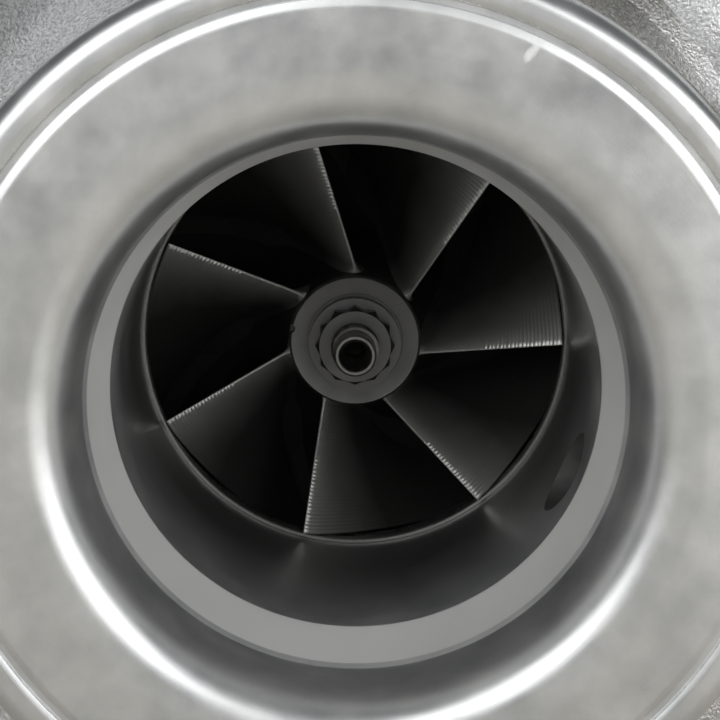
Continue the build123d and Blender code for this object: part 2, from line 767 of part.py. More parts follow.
def turbine_scroll(extra):
    """The gas passage, grown by extra millimetres, with its straight leg up from the foot."""
    leg_x = -(volute_inner_radius + volute_start_radius)
    leg_y = volute_front + volute_start_radius
    low = foot_bottom - 1 if extra == 0 else foot_bottom + 1
    sections = []
    for z in (low, low * 0.66, low * 0.33):
        place = Plane(origin=(leg_x, leg_y, z), x_dir=(-1, 0, 0), z_dir=(0, 0, 1))
        sections.append(place * Circle(volute_start_radius + extra))
    steps = 9
    for i in range(steps + 1):
        share = i / steps
        r = volute_start_radius + (volute_end_radius - volute_start_radius) * share
        angle = 180.0 - volute_turn * share
        sections.append(section(r + extra, volute_inner_radius + r, angle, volute_front + r))
    return loft(sections)


def turbine_bore():
    """Pilot, nozzle slot, shroud and exit turned out of the turbine housing."""
    gap_radius = turbine_inducer_radius + turbine_gap
    slot_end = turbine_disc_back + turbine_nozzle_width + turbine_gap
    exit_radius = turbine_exducer_radius + turbine_gap
    half_r = turbine_inducer_radius - exit_radius
    half_y = turbine_exit - slot_end
    shroud = EllipticalCenterArc((turbine_inducer_radius, turbine_exit), half_r, half_y, 180, arc_size=90)
    ends = sorted([shroud @ 0, shroud @ 1], key=lambda point: point.Y)
    lead = Polyline(
        (0, turbine_flange_back - 1), (nose_radius + pilot_gap, turbine_flange_back - 1),
        (nose_radius + pilot_gap, nose_end + 1.9), (gap_radius, nose_end + 1.9),
        (gap_radius, volute_front), (volute_inner_radius + 11, volute_front),
        (volute_inner_radius + 11, ends[0].Y), (ends[0].X, ends[0].Y),
    )
    tail = Polyline(
        (ends[1].X, ends[1].Y), (exit_radius, turbine_exit + 1), (exit_radius + 1.2, chamber_floor + 0.5),
        (0, chamber_floor + 0.5), (0, turbine_flange_back - 1),
    )
    return revolve(make_face([*lead.edges(), shroud, *tail.edges()]), Axis.Y)


def chamber_bar(radius, start, end):
    """Round bar about the discharge chamber's own axis."""
    return bar(radius, (chamber_x, start, chamber_z), (chamber_x, end, chamber_z))


def outlet_stud_points(y):
    """Stud places on the discharge flange."""
    points = []
    for angle in around(outlet_studs, 18.0):
        x = chamber_x + outlet_stud_circle * cos(radians(angle))
        points.append((x, y, chamber_z + outlet_stud_circle * sin(radians(angle))))
    return points


def turbine_housing():
    """Cast-iron housing: foot, scroll, shroud, wastegate port and discharge chamber."""
    leg_x = -(volute_inner_radius + volute_start_radius)
    leg_y = volute_front + volute_start_radius
    body = turned(
        (20, turbine_flange_back), (turbine_flange_radius, turbine_flange_back),
        (turbine_flange_radius, 149.8), (39, 152), (39, 155), (48, 160), (48, chamber_floor), (20, chamber_floor),
    )
    body += turbine_scroll(volute_wall)
    body += chamber_bar(chamber_radius + chamber_wall, chamber_floor - 8, chamber_back)
    body += chamber_bar(outlet_flange_radius, outlet_flange_front, chamber_back)
    body += bar(boss_radius, (50, pivot_y, pivot_z), (boss_end, pivot_y, pivot_z))
    foot = Pos(leg_x, leg_y, foot_bottom + foot_thickness / 2)
    plate = Box(2 * foot_half_x, 2 * foot_half_y, foot_thickness)
    body += foot * fillet(plate.edges().filter_by(Axis.Z), 12)
    body -= turbine_bore()
    body -= turbine_scroll(0)
    body -= chamber_bar(chamber_radius, chamber_floor, chamber_back + 1)
    seat_y = chamber_floor + seat_height
    body += bar(seat_radius, (port_x, chamber_floor - 1, 0), (port_x, seat_y, 0))
    body -= bar(port_radius, (port_x, volute_front + 12, 0), (port_x, seat_y + 1, 0))
    body -= bar(bushing_radius, (48, pivot_y, pivot_z), (boss_end + 1, pivot_y, pivot_z))
    for point in outlet_stud_points(outlet_flange_front - 1):
        body -= bar(stud_hole_radius, point, (point[0], chamber_back + 1, point[2]))
    for sx in (-1, 1):
        for sy in (-1, 1):
            x = leg_x + sx * foot_bolt_x
            y = leg_y + sy * foot_bolt_y
            body -= bar(foot_bolt_radius, (x, y, foot_bottom - 1), (x, y, foot_bottom + foot_thickness + 1))
    return body.solids().sort_by(SortBy.VOLUME)[-1]


def outlet_stud_group():
    """Studs with a thinner screwed-in end in the discharge flange and a full thread standing out."""
    studs = []
    for point in outlet_stud_points(outlet_flange_front):
        seat = (point[0], chamber_back, point[2])
        tip = (point[0], chamber_back + stud_length, point[2])
        studs.append(bar(stud_hole_radius - 0.05, point, seat) + bar(stud_radius, seat, tip))
    return studs


clamp_gap_half = 9.0
clamp_outer = 49.0
clamp_ear_x = 8.0


def vband_clamp():
    """Split V-section clamp over the two flanges, with trunnion ears at its gap."""
    band = turned((40.5, 139.2), (clamp_outer, 139.2), (clamp_outer, 152.8), (40.5, 152.8),
                  (40.5, 151.6), (44.6, 149.9), (44.6, 142.1), (40.5, 140.4))
    band -= Pos(0, 146, 45) * Box(2 * clamp_gap_half, 20, 20)
    for side in (-1, 1):
        near = side * clamp_gap_half
        far = side * (clamp_gap_half + clamp_ear_x)
        ear = Pos((near + far) / 2, 146, 52.5) * Box(clamp_ear_x, 12, 11)
        band += ear
        band -= bar(3.3, (near - side, 146, 53), (far + side, 146, 53))
    return band.solids().sort_by(SortBy.VOLUME)[-1]


def vband_bolt():
    """T-bolt through the clamp's ears."""
    start = -(clamp_gap_half + clamp_ear_x)
    body = bar(3.0, (start - 4, 146, 53), (-start + 16, 146, 53))
    return body + Pos(start - 2.5, 146, 53) * Box(5, 12, 9)


def vband_nut():
    start = clamp_gap_half + clamp_ear_x
    nut = prism(5.8, 6, (start, 146, 53), (start + 8, 146, 53))
    nut += bar(6.2, (start, 146, 53), (start + 1.5, 146, 53))
    return nut - bar(3.05, (start - 1, 146, 53), (start + 9, 146, 53))


# ---------------------------------------------------------------- wastegate
def wastegate_bushing():
    """Steel bushing for the wastegate shaft, pressed into the turbine housing."""
    start = 55.0
    end = boss_end + 1.0
    return tube(bushing_radius, pivot_radius + running_gap, (start, pivot_y, pivot_z), (end, pivot_y, pivot_z))


def wastegate_arm():
    """Shaft through the wall, with the arm that carries the valve inside."""
    eye_low = chamber_floor + seat_height + valve_thickness + 0.4
    shaft = bar(pivot_radius, (39, pivot_y, pivot_z), (lever_x + 3.5, pivot_y, pivot_z))
    hub = bar(6.5, (38, pivot_y, pivot_z), (50, pivot_y, pivot_z))
    arm = bar(3.6, (port_x, pivot_y, pivot_z), (port_x, eye_low + 3.7, 3))
    eye = bar(7.5, (port_x, eye_low, 0), (port_x, eye_low + 7, 0))
    body = shaft + hub + arm + eye - bar(7.4, (port_x, eye_low + 7, 0), (port_x, eye_low + 12, 0))
    return body - bar(4.05, (port_x, eye_low - 1, 0), (port_x, eye_low + 9, 0))


def wastegate_valve():
    """Flat valve on its stem, loose in the arm's eye."""
    face = chamber_floor + seat_height + 0.05
    disc = bar(valve_radius, (port_x, face, 0), (port_x, face + valve_thickness, 0))
    return disc + bar(4.0, (port_x, face, 0), (port_x, face + valve_thickness + 10, 0))


def valve_washer():
    start = chamber_floor + seat_height + valve_thickness + 7.6
    return tube(6.8, 4.05, (port_x, start, 0), (port_x, start + 1.6, 0))


def wastegate_lever():
    """Outside lever welded to the wastegate shaft."""
    low = lever_x - lever_thickness / 2
    high = lever_x + lever_thickness / 2
    place = Plane(origin=(low, 0, 0), x_dir=(0, 1, 0), z_dir=(1, 0, 0))
    big = Pos(pivot_y, pivot_z) * Circle(9.5)
    small = Pos(pin_y, rod_z) * Circle(7.0)
    outline = make_hull(big.edges() + small.edges())
    plate = place * extrude(outline, high - low)
    plate -= bar(pivot_radius + 0.02, (low - 1, pivot_y, pivot_z), (high + 1, pivot_y, pivot_z))
    return plate - bar(pin_radius, (low - 1, pin_y, rod_z), (high + 1, pin_y, rod_z))


def lever_pin():
    """Headed pin on which the rod end turns."""
    return bar(pin_radius, (lever_x - 2.5, pin_y, rod_z), (rod_x + 6.5, pin_y, rod_z))


def pin_clip():
    return tube(5.2, pin_radius, (rod_x + 3.6, pin_y, rod_z), (rod_x + 4.6, pin_y, rod_z))


def rod_end():
    """Threaded eye on the rod's rear end."""
    body = bar(7.5, (rod_x - 3, pin_y, rod_z), (rod_x + 3, pin_y, rod_z))
    body += bar(4.8, (rod_x, pin_y - 5, rod_z), (rod_x, pin_y - 26, rod_z))
    body -= bar(pin_radius + running_gap, (rod_x - 4, pin_y, rod_z), (rod_x + 4, pin_y, rod_z))
    return body - bar(rod_radius + 0.02, (rod_x, pin_y - 9, rod_z), (rod_x, pin_y - 27, rod_z))


def rod_lock_nut():
    start = pin_y - 26
    nut = prism(5.6, 6, (rod_x, start - 5, rod_z), (rod_x, start, rod_z))
    return nut - bar(rod_radius + 0.02, (rod_x, start - 6, rod_z), (rod_x, start + 1, rod_z))


def actuator_rod():
    """Push rod from the piston plate to the rod end."""
    return bar(rod_radius, (rod_x, can_joint - 2.2, rod_z), (rod_x, pin_y - 10, rod_z))


# ---------------------------------------------------------------- actuator
def on_can(shape):
    """Move a shape turned about the rotor axis onto the actuator's axis."""
    return Pos(rod_x, 0, rod_z) * shape


def actuator_front_can():
    """Pressure cap with its crimped rim and the signal hose tail."""
    inner = can_radius - can_wall
    cap = turned(
        (0, can_front), (can_radius - 6, can_front), (can_radius, can_front + 5), (can_radius, can_joint - 2),
        (rim_radius, can_joint - 2), (rim_radius, can_joint + 2.4), (rim_radius - 2.4, can_joint + 2.4),
        (rim_radius - 2.4, can_joint + 2.0), (rim_radius - 1, can_joint + 2.0), (rim_radius - 1, can_joint - 0.9),
        (inner, can_joint - 0.9), (inner, can_front + 5.4), (can_radius - 6.6, can_front + can_wall),
        (0, can_front + can_wall),
    )
    cap = on_can(cap)
    cap += bar(3.0, (rod_x, can_front + 7.5, rod_z - can_radius + 1), (rod_x, can_front + 7.5, rod_z - can_radius - 14))
    cap += bar(3.6, (rod_x, can_front + 7.5, rod_z - can_radius - 10),
               (rod_x, can_front + 7.5, rod_z - can_radius - 12.5))
    return cap - bar(1.6, (rod_x, can_front + 7.5, rod_z - 20), (rod_x, can_front + 7.5, rod_z - can_radius - 15))


def actuator_rear_can():
    """Spring chamber with its two mounting studs and the rod's clearance hole."""
    inner = can_radius - can_wall
    cup = turned(
        (inner, can_joint + 0.9), (rim_radius - 1.1, can_joint + 0.9), (rim_radius - 1.1, can_joint + 1.9),
        (can_radius, can_joint + 1.9), (can_radius, can_back - 4), (can_radius - 4, can_back),
        (rod_hole_radius, can_back), (rod_hole_radius, can_back - can_wall), (can_radius - 4.6, can_back - can_wall),
        (inner, can_back - 4.5),
    )
    cup = on_can(cup)
    for z in can_stud_heights():
        cup += bar(can_stud_radius, (rod_x, can_back - 1, z), (rod_x, can_back + 11, z))
    return cup


def can_stud_heights():
    return [rod_z - can_stud_offset, rod_z + can_stud_offset]


def actuator_diaphragm():
    """Rubber diaphragm clamped in the rim."""
    return on_can(ring(rim_radius - 1.1, rod_radius + 0.3, can_joint - 0.8, can_joint + 0.8))


def piston_plate():
    """Dished plate behind the diaphragm that the spring pushes against."""
    start = can_joint + 1.0
    return on_can(turned(
        (rod_radius, start), (19, start), (19, start + 5), (17.8, start + 5), (17.8, start + 1.4),
        (rod_radius, start + 1.4),
    ))


def actuator_spring():
    """Coil spring between the piston plate and the rear can."""
    low = can_joint + 2.5 + spring_wire / 2
    high = can_back - can_wall - 0.1 - spring_wire / 2
    height = high - low
    path = Helix(pitch=height / spring_turns, height=height, radius=spring_coil_radius)
    wire = Plane(origin=path @ 0, z_dir=path % 0) * Circle(spring_wire / 2)
    coil = sweep(wire, path)
    return Pos(rod_x, low, rod_z) * Rot(-90, 0, 0) * coil


def bracket_face(y):
    """Sketch plane across the rotor axis, with local y up."""
    return Plane(origin=(0, y, 0), x_dir=(1, 0, 0), z_dir=(0, -1, 0))


def actuator_bracket():
    """Flat steel bracket from the compressor housing's bosses to the actuator."""
    spots = [(bracket_bolt_x, side * bracket_bolt_z, 8.5) for side in (-1, 1)]
    spots += [(rod_x, z, 8.0) for z in can_stud_heights()]
    rims = [edge for x, z, r in spots for edge in (Pos(x, z) * Circle(r)).edges()]
    plate = bracket_face(bracket_back) * extrude(make_hull(rims), bracket_thickness)
    for side in (-1, 1):
        plate -= bar(clamp_bolt_radius + 0.3, (bracket_bolt_x, bracket_front - 1, side * bracket_bolt_z),
                     (bracket_bolt_x, bracket_back + 1, side * bracket_bolt_z))
    for z in can_stud_heights():
        plate -= bar(can_stud_radius + 0.2, (rod_x, bracket_front - 1, z), (rod_x, bracket_back + 1, z))
    plate -= bar(rod_hole_radius, (rod_x, bracket_front - 1, rod_z), (rod_x, bracket_back + 1, rod_z))
    return plate


def bracket_bolts():
    return [
        hex_bolt((bracket_bolt_x, bracket_front, side * bracket_bolt_z), (0, 1, 0), clamp_bolt_radius - 0.05,
                 bracket_thickness + 8.0, 5.2, 5.0)
        for side in (-1, 1)
    ]


def actuator_nuts():
    nuts = []
    for z in can_stud_heights():
        nut = prism(4.6, 6, (rod_x, bracket_back, z), (rod_x, bracket_back + 4.5, z))
        nuts.append(nut - bar(can_stud_radius + 0.02, (rod_x, bracket_back - 1, z), (rod_x, bracket_back + 6, z)))
    return nuts


# ---------------------------------------------------------------- write every node
os.makedirs("parts", exist_ok=True)
save("compressor_housing", compressor_housing())
save("vent_fitting", vent_fitting())
save("backplate", backplate())
save("backplate_o_ring", backplate_o_ring())
save("compressor_clamp_plates", *clamp_plates())
save("compressor_clamp_bolts", *clamp_bolts())
save("backplate_bolts", *backplate_bolts())
save("bearing_housing", bearing_housing())
save("journal_bearing", journal_bearing())
save("bearing_pin", bearing_pin())
save("thrust_bearing", thrust_bearing())
save("oil_baffle", oil_baffle())
save("compressor_seal_ring", seal_ring(wheel_boss_end + 1.75))
save("turbine_seal_ring", seal_ring(142.2))
save("oil_inlet_gasket", oil_inlet_gasket())
save("oil_inlet_fitting", oil_inlet_fitting())
save("oil_inlet_bolts", *oil_inlet_bolts())
save("oil_drain_gasket", oil_drain_gasket())
save("oil_drain_flange", oil_drain_flange())
save("oil_drain_bolts", *oil_drain_bolts())
save("coolant_washers", *coolant_washers())
save("coolant_fittings", *coolant_fittings())
save("heat_shield", heat_shield())
save("turbine_housing", turbine_housing())
save("turbine_outlet_studs", *outlet_stud_group())
save("vband_clamp", vband_clamp())
save("vband_t_bolt", vband_bolt())
save("vband_nut", vband_nut())
save("wastegate_bushing", wastegate_bushing())
save("actuator_front_can", actuator_front_can())
save("actuator_rear_can", actuator_rear_can())
save("actuator_diaphragm", actuator_diaphragm())
save("actuator_spring", actuator_spring())
save("actuator_bracket", actuator_bracket())
save("bracket_bolts", *bracket_bolts())
save("actuator_nuts", *actuator_nuts())
save("turbine_wheel", turbine_wheel())
save("rotor_shaft", rotor_shaft())
save("oil_flinger", oil_flinger())
save("thrust_collar", thrust_collar())
save("compressor_wheel", compressor_wheel())
save("compressor_nut", compressor_nut())
save("wastegate_arm", wastegate_arm())
save("wastegate_valve", wastegate_valve())
save("valve_washer", valve_washer())
save("wastegate_lever", wastegate_lever())
save("lever_pin", lever_pin())
save("pin_clip", pin_clip())
save("actuator_rod", actuator_rod())
save("rod_end", rod_end())
save("rod_lock_nut", rod_lock_nut())
save("piston_plate", piston_plate())
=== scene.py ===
# %% [markdown]
# # A turbocharger, dressed round its CAD model
#
# The imported CAD model is the frame: it fixes where every part sits and how it moves. This script gives
# each part its finish, and builds finer meshes where a close view shows more than a CAD solid holds: the
# turned inlet, the milled wheel and the shaft's thread.

# %% Load the frame
import json
import math

import bmesh
import bpy
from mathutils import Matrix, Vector


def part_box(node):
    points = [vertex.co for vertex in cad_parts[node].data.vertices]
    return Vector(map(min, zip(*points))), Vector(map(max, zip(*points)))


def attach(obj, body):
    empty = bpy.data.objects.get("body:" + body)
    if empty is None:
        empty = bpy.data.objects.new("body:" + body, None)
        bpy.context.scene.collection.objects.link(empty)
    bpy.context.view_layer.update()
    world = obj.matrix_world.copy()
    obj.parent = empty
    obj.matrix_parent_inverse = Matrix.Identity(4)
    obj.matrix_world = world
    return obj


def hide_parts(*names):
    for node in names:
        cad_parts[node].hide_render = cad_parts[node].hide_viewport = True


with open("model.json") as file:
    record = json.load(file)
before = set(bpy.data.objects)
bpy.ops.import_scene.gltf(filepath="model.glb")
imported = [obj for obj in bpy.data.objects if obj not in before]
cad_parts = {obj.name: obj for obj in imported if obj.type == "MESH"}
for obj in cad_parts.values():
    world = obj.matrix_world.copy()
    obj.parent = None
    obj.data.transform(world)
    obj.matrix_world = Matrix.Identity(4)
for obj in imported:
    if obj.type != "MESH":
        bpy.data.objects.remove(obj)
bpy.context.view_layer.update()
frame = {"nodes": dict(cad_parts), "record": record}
MM = 0.001

# %% [markdown]
# ## Sizes
#
# A turbocharger is built round one axis, so most of its sizes are a radius and a place along that
# axis. The rotor turns about Y, and a place is counted in millimetres behind the inlet's face.
# These are the same sizes as the CAD model's; the wheel's box from it is printed below.

# %% Sizes along the rotor axis
lip_radius = 50.8
lip_length = 4.0
land_radius = 50.0
land_end = 23.0
face_inner_radius = 37.1
groove_radius = 46.1
bell_end_radius = 31.1
bell_depth = 11.4
band_start = (30.7, 12.2)
band_end = (29.1, 20.9)
ledge_y = 58.0
inducer_radius = 28.15
wheel_front = 56.7
exducer_radius = 38.0
exducer_front = 76.4
exducer_back = 81.6
hub_front = 55.0
hub_face_radius = 8.86
port_angle = math.radians(-25.0)
port_y = 30.5
port_radius = 5.35
skin = 0.14
face_skin = 0.35
nut_seat = 6.4

wheel_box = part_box("compressor_wheel")
print("wheel from the CAD: front %.1f mm, radius %.1f mm" % (wheel_box[0].y / MM, wheel_box[1].x / MM))

# %% [markdown]
# ## Mesh helpers
#
# Turned parts come from one outline spun round the axis. Writing the vertices as an array is
# faster than the Screw modifier, leaves no seam to merge and gives clean rings of quads, which
# shade smoothly in a highlight. Each piece keeps its place in its mesh, with its object at the origin.

# %% Turn an outline into a mesh
def link(name, mesh):
    """Put a mesh in the scene as an object at the origin."""
    piece = bpy.data.objects.new(name, mesh)
    bpy.context.scene.collection.objects.link(piece)
    return piece


def fresh_mesh(name, points, faces):
    """Mesh from millimetre points, with its normals pointing outwards."""
    mesh = bpy.data.meshes.new(name)
    mesh.from_pydata([tuple(c * MM for c in p) for p in points], [], faces)
    work = bmesh.new()
    work.from_mesh(mesh)
    bmesh.ops.recalc_face_normals(work, faces=work.faces)
    work.to_mesh(mesh)
    work.free()
    return mesh


def smooth(mesh, angle=35.0):
    """Shade smooth, but keep edges sharper than an angle crisp."""
    mesh.shade_smooth()
    mesh.set_sharp_from_angle(angle=math.radians(angle))
    return mesh


def turned(name, outline, segments=192, shape=None):
    """Closed ring turned about the rotor axis from (radius, y) points in order."""
    points = []
    count = len(outline)
    for k in range(segments):
        a = 2 * math.pi * k / segments
        for r, y in outline:
            if shape:
                r = shape(r, y, a)
            points.append((r * math.cos(a), y, r * math.sin(a)))
    faces = []
    for k in range(segments):
        here = k * count
        there = (k + 1) % segments * count
        for i in range(count):
            j = (i + 1) % count
            faces.append((here + i, here + j, there + j, there + i))
    return smooth(fresh_mesh(name, points, faces))


def bezier(a, b, c, d, steps):
    """Points along a cubic curve, without its first point."""
    out = []
    for i in range(1, steps + 1):
        t = i / steps
        u = 1 - t
        w = (u ** 3, 3 * u * u * t, 3 * u * t * t, t ** 3)
        out.append(tuple(sum(w[n] * p[k] for n, p in enumerate((a, b, c, d))) for k in (0, 1)))
    return out


def ellipse(centre, half_r, half_y, start, end, steps):
    """Points along an ellipse from one angle to another, in degrees."""
    out = []
    for i in range(steps + 1):
        a = math.radians(start + (end - start) * i / steps)
        out.append((centre[0] + half_r * math.cos(a), centre[1] + half_y * math.sin(a)))
    return out


print("helpers ready")

# %% [markdown]
# ## Metals
#
# Metal looks like what it reflects, so its character is in its roughness and its small relief, not
# in its colour. Each finish is a Principled shader at full metallic, with noise on Object
# coordinates for cloudy roughness and a bump at the true size of its grain: about half a
# millimetre for a sand casting, and far finer for a turned face.

# %% Node helpers
def shader_tree(name, colour, roughness, metallic=1.0):
    """New material with its Principled shader, ready for noise and bump."""
    mat = bpy.data.materials.new(name)
    mat.use_nodes = True
    tree = mat.node_tree
    shader = tree.nodes["Principled BSDF"]
    shader.inputs["Base Color"].default_value = (*colour, 1)
    shader.inputs["Metallic"].default_value = metallic
    shader.inputs["Roughness"].default_value = roughness
    coords = tree.nodes.new("ShaderNodeTexCoord").outputs["Object"]
    return mat, tree, shader, coords


def noise(tree, vector, scale, detail=3.0, rough=0.5):
    node = tree.nodes.new("ShaderNodeTexNoise")
    node.inputs["Scale"].default_value = scale
    node.inputs["Detail"].default_value = detail
    node.inputs["Roughness"].default_value = rough
    tree.links.new(vector, node.inputs["Vector"])
    return node.outputs["Fac"]


def spread(tree, value, low, high, start=0.3, end=0.7):
    """Map a noise value onto a range."""
    node = tree.nodes.new("ShaderNodeMapRange")
    node.inputs["From Min"].default_value = start
    node.inputs["From Max"].default_value = end
    node.inputs["To Min"].default_value = low
    node.inputs["To Max"].default_value = high
    tree.links.new(value, node.inputs["Value"])
    return node.outputs["Result"]


def maths(tree, operation, first, second=None):
    node = tree.nodes.new("ShaderNodeMath")
    node.operation = operation
    for socket, value in zip(node.inputs, (first, second)):
        if isinstance(value, (int, float)):
            socket.default_value = value
        elif value is not None:
            tree.links.new(value, socket)
    return node.outputs["Value"]


def blend_colour(tree, factor, first, second):
    node = tree.nodes.new("ShaderNodeMix")
    node.data_type = "RGBA"
    tree.links.new(factor, node.inputs["Factor"])
    for socket, value in ((node.inputs[6], first), (node.inputs[7], second)):
        if isinstance(value, tuple):
            socket.default_value = (*value, 1)
        else:
            tree.links.new(value, socket)
    return node.outputs[2]


def bump(tree, shader, heights):
    """Chain bumps, each a (height, depth in metres) pair, into the shader's normal."""
    normal = None
    for height, depth in heights:
        node = tree.nodes.new("ShaderNodeBump")
        node.inputs["Distance"].default_value = depth
        tree.links.new(height, node.inputs["Height"])
        if normal is not None:
            tree.links.new(normal, node.inputs["Normal"])
        normal = node.outputs["Normal"]
    tree.links.new(normal, shader.inputs["Normal"])


def axes(tree, coords):
    """The three parts of a coordinate."""
    split = tree.nodes.new("ShaderNodeSeparateXYZ")
    tree.links.new(coords, split.inputs["Vector"])
    return split.outputs


def ring_coords(tree, coords):
    """Coordinates that are long round the axis and short across it, as turning marks are."""
    metres_per_radian = 0.0012
    x, y, z = axes(tree, coords)
    squares = maths(tree, "ADD", maths(tree, "MULTIPLY", x, x), maths(tree, "MULTIPLY", z, z))
    radius = maths(tree, "SQRT", squares)
    angle = maths(tree, "ARCTAN2", z, x)
    join = tree.nodes.new("ShaderNodeCombineXYZ")
    tree.links.new(radius, join.inputs["X"])
    tree.links.new(y, join.inputs["Y"])
    tree.links.new(maths(tree, "MULTIPLY", angle, metres_per_radian), join.inputs["Z"])
    return join.outputs["Vector"], radius


def zone(tree, value, start, end, soft=0.0004):
    """One between two places along an axis, and nought outside them."""
    rise = spread(tree, value, 0.0, 1.0, start - soft, start + soft)
    fall = spread(tree, value, 1.0, 0.0, end - soft, end + soft)
    return maths(tree, "MULTIPLY", rise, fall)


print("node helpers ready")

# %% [markdown]
# Turned aluminium is one finish with three zones along the axis: the satin face and bell, a coarser
# bright band, and the bore, whose colour is painted darker with depth as painted shade, since little
# light comes back from there. A scuff on the face breaks it up.

# %% Turned aluminium
scuff_place = (0.0183, 0.0402)
scuff_slope = (0.80, 0.60)
scuff_width = 0.0005
scuff_length = 0.0016


def turned_aluminium():
    """Satin machined aluminium: fine rings, cloudy gloss, a coarser conical band, one scuff, and painted
    shade darkening the bore with depth.
    """
    mat, tree, shader, coords = shader_tree("turned_aluminium", (0.80, 0.80, 0.795), 0.40)
    rings, _ = ring_coords(tree, coords)
    x, y, z = axes(tree, coords)
    clouds = noise(tree, coords, 130.0, 5.0, 0.6)
    wide = noise(tree, coords, 42.0, 3.0)
    mouth = spread(tree, y, 0.0, 1.0, -0.0001, 0.003)
    deep = spread(tree, y, 1.0, 0.0, 0.022, 0.046)
    band = zone(tree, y, band_start[1] * MM - 0.0001, band_end[1] * MM, 0.0001)
    right = maths(tree, "SUBTRACT", x, scuff_place[0])
    up = maths(tree, "SUBTRACT", z, scuff_place[1])
    across = maths(tree, "SUBTRACT", maths(tree, "MULTIPLY", right, scuff_slope[0]),
                   maths(tree, "MULTIPLY", up, scuff_slope[1]))
    along = maths(tree, "ADD", maths(tree, "MULTIPLY", right, scuff_slope[1]),
                  maths(tree, "MULTIPLY", up, scuff_slope[0]))
    across = maths(tree, "POWER", maths(tree, "DIVIDE", across, scuff_width), 2.0)
    along = maths(tree, "POWER", maths(tree, "DIVIDE", along, scuff_length), 2.0)
    far = maths(tree, "ADD", across, along)
    torn = maths(tree, "ADD", far, spread(tree, noise(tree, coords, 1500.0), -0.5, 0.5))
    scuff = spread(tree, torn, 0.7, 0.0, 0.2, 1.3)
    cloudy = maths(tree, "ADD", spread(tree, clouds, 0.29, 0.39), spread(tree, wide, -0.04, 0.05))
    bell = maths(tree, "MULTIPLY", mouth, deep)
    rough = maths(tree, "ADD", cloudy, maths(tree, "MULTIPLY", bell, 0.05))
    rough = maths(tree, "ADD", rough, maths(tree, "MULTIPLY", scuff, 0.3))
    tree.links.new(rough, shader.inputs["Roughness"])
    matt = maths(tree, "ADD", maths(tree, "MULTIPLY", band, 0.5), maths(tree, "MULTIPLY", scuff, 0.5))
    tree.links.new(maths(tree, "SUBTRACT", 0.92, matt), shader.inputs["Metallic"])
    tone = blend_colour(tree, spread(tree, clouds, 0.0, 1.0), (0.64, 0.655, 0.66), (0.80, 0.805, 0.80))
    # Painted shade: the colour falls to dark grey from 22 to 46 mm into the bore.
    tone = blend_colour(tree, deep, (0.30, 0.30, 0.295), tone)
    tone = blend_colour(tree, maths(tree, "MAXIMUM", scuff, band), tone, (0.93, 0.93, 0.92))
    tree.links.new(tone, shader.inputs["Base Color"])
    marks = noise(tree, rings, 5200.0, 2.0, 0.6)
    grain = noise(tree, coords, 2600.0, 3.0, 0.6)
    bump(tree, shader, ((marks, 0.000005), (grain, 0.000006)))
    return mat


# %% [markdown]
# The castings differ in colour, in the size of their grain and in how deep it is. The small parts share
# one finish with faint turning rings. The blades' colour darkens with depth as painted shade.

# %% Cast, fine, milled and matt finishes
def cast_skin(name, light, dark, roughness, grain_depth, slow_depth=0.0002, grain_scale=1500.0,
              bored=0.0):
    """Sand-cast skin: grain over slow waves, with painted shade in the grain's hollows, and smooth inside
    a bored radius, where it is painted dark grey as painted shade.
    """
    mat, tree, shader, coords = shader_tree(name, light, roughness)
    grain = noise(tree, coords, grain_scale, 3.0, 0.5)
    waves = noise(tree, coords, 160.0, 3.0)
    stain = noise(tree, coords, 26.0, 4.0)
    # Painted shade: the colour is darker in the hollows of the grain, mixed with a random stain tone.
    hollow = spread(tree, grain, 0.0, 1.0, 0.32, 0.6)
    shade = maths(tree, "MULTIPLY", hollow, spread(tree, stain, 0.7, 1.0))
    colour = blend_colour(tree, shade, dark, light)
    gloss = spread(tree, waves, roughness - 0.06, roughness + 0.08)
    height = grain
    if bored:
        _, radius = ring_coords(tree, coords)
        rough_part = spread(tree, radius, 0.0, 1.0, bored - 0.0002, bored + 0.0002)
        height = maths(tree, "MULTIPLY", grain, rough_part)
        # Painted shade: inside the bored radius the colour is a flat dark grey.
        colour = blend_colour(tree, rough_part, (0.35, 0.35, 0.345), colour)
    tree.links.new(colour, shader.inputs["Base Color"])
    tree.links.new(gloss, shader.inputs["Roughness"])
    bump(tree, shader, ((waves, slow_depth), (height, grain_depth)))
    return mat


def fine_metal(name, colour, roughness, grain=0.000006, metallic=1.0, tint=None, marks=True):
    """Small machined or plated part: faint rings or grain, and slightly uneven gloss."""
    mat, tree, shader, coords = shader_tree(name, colour, roughness, metallic)
    clouds = noise(tree, coords, 220.0, 4.0)
    tree.links.new(spread(tree, clouds, roughness - 0.06, roughness + 0.09), shader.inputs["Roughness"])
    second = tint or tuple(0.82 * c for c in colour)
    tone = blend_colour(tree, spread(tree, clouds, 0.0, 1.0), second, colour)
    tree.links.new(tone, shader.inputs["Base Color"])
    heights = [(noise(tree, coords, 3000.0, 3.0, 0.6), grain)]
    if marks:
        rings, _ = ring_coords(tree, coords)
        heights.append((noise(tree, rings, 4200.0, 2.0, 0.6), grain))
    bump(tree, shader, heights)
    return mat


def milled_aluminium(name, colour, roughness):
    """Milled blade: bright at its leading edge, with its colour painted darker further in as painted
    shade.
    """
    mat, tree, shader, coords = shader_tree(name, colour, roughness, 0.85)
    patches = spread(tree, noise(tree, coords, 150.0), -0.0008, 0.0008)
    depth = maths(tree, "ADD", axes(tree, coords)[1], patches)
    # Painted shade: the blade colour darkens from its leading edge to about 9 mm deeper.
    painted_depth_shade = spread(tree, depth, 0.0, 1.0, (wheel_front + 0.4) * MM, (wheel_front + 9.0) * MM)
    painted_shade_colour = tuple(0.22 * c for c in colour)
    tree.links.new(blend_colour(tree, painted_depth_shade, colour, painted_shade_colour), shader.inputs["Base Color"])
    grain = noise(tree, coords, 3000.0, 3.0, 0.6)
    tree.links.new(spread(tree, grain, roughness - 0.05, roughness + 0.05), shader.inputs["Roughness"])
    bump(tree, shader, ((grain, 0.000006),))
    return mat


